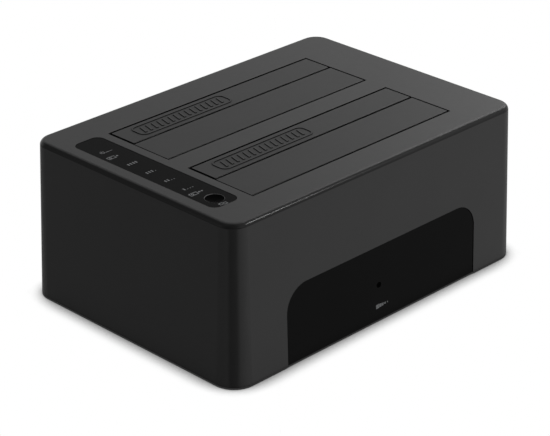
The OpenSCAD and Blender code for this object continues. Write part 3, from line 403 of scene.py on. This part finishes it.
def power_mark(ink):
    ring_u, ring_r = -1.6, 0.8
    ink.arc(ring_u, 0, ring_r, 125, 415)
    ink.box(ring_u, 0.6, ink.LINE, 1.0)
    ink.box(1.0, -0.6, 3.2, ink.LINE)


def drive_mark(ink, dots):
    """Drive with its disc, and one dot for each drive counted."""
    disc_r, first_dot, dot_pitch = 0.42, 2.1, 1.2
    ink.frame(-0.6, 0, 3.6, 2.0)
    ink.arc(-1.1, 0, disc_r, 0, 360)
    for i in range(dots):
        ink.dot(first_dot + dot_pitch * i, 0, disc_r)


def level_mark(ink, full):
    """Row of four cells, as bars where full and low ticks where empty."""
    cells, first_cell, cell_pitch, cell_w, cell_h, tick_v = 4, -1.8, 1.2, 0.5, 1.4, -0.56
    for i in range(cells):
        u = first_cell + cell_pitch * i
        if i < full:
            ink.box(u, 0, cell_w, cell_h)
        else:
            ink.box(u, tick_v, cell_w, ink.LINE)


def copy_mark(ink):
    for u, v in ((-0.7, 0.2), (0.8, -0.2)):
        ink.frame(u, v, 1.7, 1.5)


def strip_marks():
    """Pictograms along the indicator panel: power, two drives, four levels and copying."""
    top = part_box("indicator_panel")[1][2]
    bm = bmesh.new()
    power_mark(Ink(bm, *POWER_AT))
    for i, y in enumerate(DRIVE_YS):
        drive_mark(Ink(bm, DRIVE_X, y), i + 1)
    for i, y in enumerate(LEVEL_YS):
        level_mark(Ink(bm, LEVEL_X, y), len(LEVEL_YS) - i)
    copy_mark(Ink(bm, *COPY_AT))
    bmesh.ops.translate(bm, vec=(0, 0, top), verts=bm.verts)
    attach(piece("strip_marks", bm, PRINT), "dock")


# The leaning front face and the mark on its panel, in mm
DRAFT, BODY_H = 2.1, 62.7
FRONT_Y, LOWER_Z, PANEL_SINK = -54.85, 0.8, 0.25
FRONT_MARK = (-0.2, 5.7)
SQUARE_SIDES, FIRST_SQUARE, SQUARE_PITCH = (1.7, 1.4, 1.1, 0.8, 0.5), -2.7, 1.35


def front_mark():
    """Row of shrinking squares under the pinhole, on the leaning front panel."""
    bm = bmesh.new()
    ink = Ink(bm, *FRONT_MARK)
    for i, side in enumerate(SQUARE_SIDES):
        ink.box(FIRST_SQUARE + SQUARE_PITCH * i, 0, side, side)
    lean = math.atan(DRAFT / BODY_H)
    turn = Matrix.Rotation(math.pi / 2 - lean, 4, "X")
    bmesh.ops.translate(bm, vec=(0, 0, -PANEL_SINK * MM), verts=bm.verts)
    shift = Matrix.Translation((0, FRONT_Y * MM, LOWER_Z * MM))
    bmesh.ops.transform(bm, matrix=shift @ turn, verts=bm.verts)
    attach(piece("front_mark", bm, PRINT), "dock")


# The button's hole, and how far the pale ring of painted highlight on its edge reaches into it, past it and
# down from the top, in mm
HOLE_R = 3.65
RIM_IN, RIM_OUT, RIM_LOW, RIM_HIGH = 0.05, 0.01, -0.75, -0.03
RIM_STEPS = 72


def button_rim_highlight():
    """Pale ring on the edge of the hole round the button, a painted highlight where the hole's wall catches
    the light.
    """
    low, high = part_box("indicator_panel")
    mid_x, top = (low[0] + high[0]) / 2, high[2]
    button_low, button_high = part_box("clone_button")
    mid_y = (button_low[1] + button_high[1]) / 2
    inner, outer = HOLE_R - RIM_IN, HOLE_R + RIM_OUT
    section = [(inner, RIM_LOW), (outer, RIM_LOW), (outer, RIM_HIGH), (inner, RIM_HIGH)]
    bm = bmesh.new()
    rings = [[bm.verts.new((mid_x + r * MM * c, mid_y + r * MM * s, top + z * MM)) for r, z in section]
             for c, s in around(RIM_STEPS)]
    skin(bm, rings + rings[:1])
    bmesh.ops.recalc_face_normals(bm, faces=bm.faces)
    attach(piece("button_rim_highlight", bm, RIM_HIGHLIGHT), "dock")


# Torsion springs on the hinge pins, in mm
HINGE_Z = 59.9
COIL_X0, COIL_X1 = 24.5, 28.75
COIL_R, WIRE_R, COIL_TURNS, COIL_STEPS = 1.2, 0.2, 5, 24
POCKET_LEG, FLAP_LEG, LEG_RISE = 4.0, 6.0, 0.45


def spring_route(y, side):
    """Middle of a spring's wire in metres, up the pocket wall, round the pin and out under the flap."""
    points = [(COIL_X0, -COIL_R, -POCKET_LEG), (COIL_X0, -COIL_R, -POCKET_LEG / 2)]
    steps = COIL_STEPS * COIL_TURNS + COIL_STEPS // 4
    for i in range(steps + 1):
        share = i / steps
        a = math.pi - math.radians(360 * COIL_TURNS + 90) * share
        points.append((COIL_X0 + (COIL_X1 - COIL_X0) * share, COIL_R * math.cos(a), COIL_R * math.sin(a)))
    points += [(COIL_X1, FLAP_LEG / 2, COIL_R), (COIL_X1, FLAP_LEG, COIL_R + LEG_RISE)]
    return [Vector((p[0], y + side * p[1], HINGE_Z + p[2])) * MM for p in points]


def tube(bm, route, r, sides=10):
    """Round wire along a route in metres."""
    rings = []
    side = Vector((1, 0, 0))
    for i, point in enumerate(route):
        ahead = route[min(i + 1, len(route) - 1)] - route[max(i - 1, 0)]
        ahead.normalize()
        side = (side - ahead * side.dot(ahead)).normalized()
        up = ahead.cross(side)
        rings.append([bm.verts.new(point + r * (side * c + up * s)) for c, s in around(sides)])
    skin(bm, rings, smooth=True)
    bm.faces.new(rings[0][::-1])
    bm.faces.new(rings[-1])
    bmesh.ops.recalc_face_normals(bm, faces=bm.faces)


def springs():
    for name, (y, side) in HINGES.items():
        bm = bmesh.new()
        tube(bm, spring_route(y, side), WIRE_R * MM)
        obj = piece(name + "_spring_wire", bm, SPRING)
        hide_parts(name + "_spring")
        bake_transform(obj)


strip_marks()
front_mark()
button_rim_highlight()
springs()

# Studio: light, floor and camera
AMBIENT = 0.14
FLOOR_HALF, FLOOR_BOUNCE = 6.0, (0.25, 0.25, 0.25, 1)
# Reach in mm of the painted shadow under the dock, and how open the floor is where it is darkest and where it
# ends
SHADOW_REACH, SHADOW_OPEN, SHADOW_SAMPLES = 12, (0.42, 0.80), 16
SHADOW_COLOUR = (0.03, 0.03, 0.03, 1)


def make_world():
    world = bpy.data.worlds.new("studio")
    SCENE.world = world
    graph = Graph(world)
    graph.nodes.clear()
    dim = graph.add("Background", Strength=AMBIENT)
    white = graph.add("Background", Color=WHITE_COLOUR)
    graph.split_by_sight(dim, white, "OutputWorld")


def make_floor():
    """White floor, with the part's shadow painted into its colour."""
    mesh = bpy.data.meshes.new("floor")
    corners = [(-1, -1), (1, -1), (1, 1), (-1, 1)]
    mesh.from_pydata([(i * FLOOR_HALF, j * FLOOR_HALF, 0) for i, j in corners], [], [(0, 1, 2, 3)])
    linked("floor", mesh)
    mat = bpy.data.materials.new("floor")
    graph = Graph(mat)
    graph.nodes.clear()
    plain = graph.add("BsdfDiffuse", Color=FLOOR_BOUNCE)
    white = graph.add("Emission")
    openness = graph.openness(SHADOW_REACH, SHADOW_SAMPLES)
    shadow = graph.tones(openness, SHADOW_OPEN, (SHADOW_COLOUR, WHITE_COLOUR))
    graph.join(shadow, white.inputs["Color"])
    graph.split_by_sight(plain, white, "OutputMaterial")
    mesh.materials.append(mat)


def lamp(name, place, aim, size, power, along=(0, 0, 1)):
    """Rectangular lamp in metres and watts, its second side as near to a direction as its aim allows."""
    data = bpy.data.lights.new(name, "AREA")
    data.shape = "RECTANGLE"
    data.size, data.size_y = size
    data.energy = power
    obj = linked(name, data)
    back = (Vector(place) - Vector(aim)).normalized()
    across = Vector(along).cross(back).normalized()
    turn = Matrix((across, back.cross(across), back)).transposed()
    obj.matrix_world = Matrix.Translation(place) @ turn.to_4x4()
    obj.visible_camera = False


make_world()
make_floor()
lamp("front", (-0.12, -0.95, 0.35), (-0.02, -0.03, 0.04), (0.6, 0.4), 1.8)
# Mirrored by the fillet along the front of the top
lamp("edge", (0.674, -0.7725, 0.663), (-0.05, -0.04, 0.06), (0.12, 0.26), 7.8, (0, -0.65, -0.75))
lamp("right", (0.34, 0.05, 0.30), (0.03, 0.0, 0.06), (0.2, 0.2), 1.8)
lamp("left", (-0.85, 0.40, 0.25), (-0.05, 0.0, 0.03), (0.4, 0.4), 0.75)
lamp("rear", (0.0, 0.95, 0.27), (0.0, 0.03, 0.03), (1.0, 0.5), 2.2)

# Camera fitted to the photo's outline, in metres, with its sensor and lens in mm
CAMERA_PLACE, CAMERA_AIM = (-0.52995, -0.5232, 0.3885), (-0.019363, -0.017423, 0.0358)
SENSOR_W, LENS_L = 36.0, 142.1
camera_data = bpy.data.cameras.new("camera")
camera_data.sensor_fit = "HORIZONTAL"
camera_data.sensor_width = SENSOR_W
camera_data.lens = LENS_L
camera = linked("camera", camera_data)
camera.location = CAMERA_PLACE
camera.rotation_euler = (Vector(CAMERA_AIM) - camera.location).to_track_quat("-Z", "Y").to_euler()
SCENE.camera = camera
SCENE.view_settings.view_transform = "Standard"
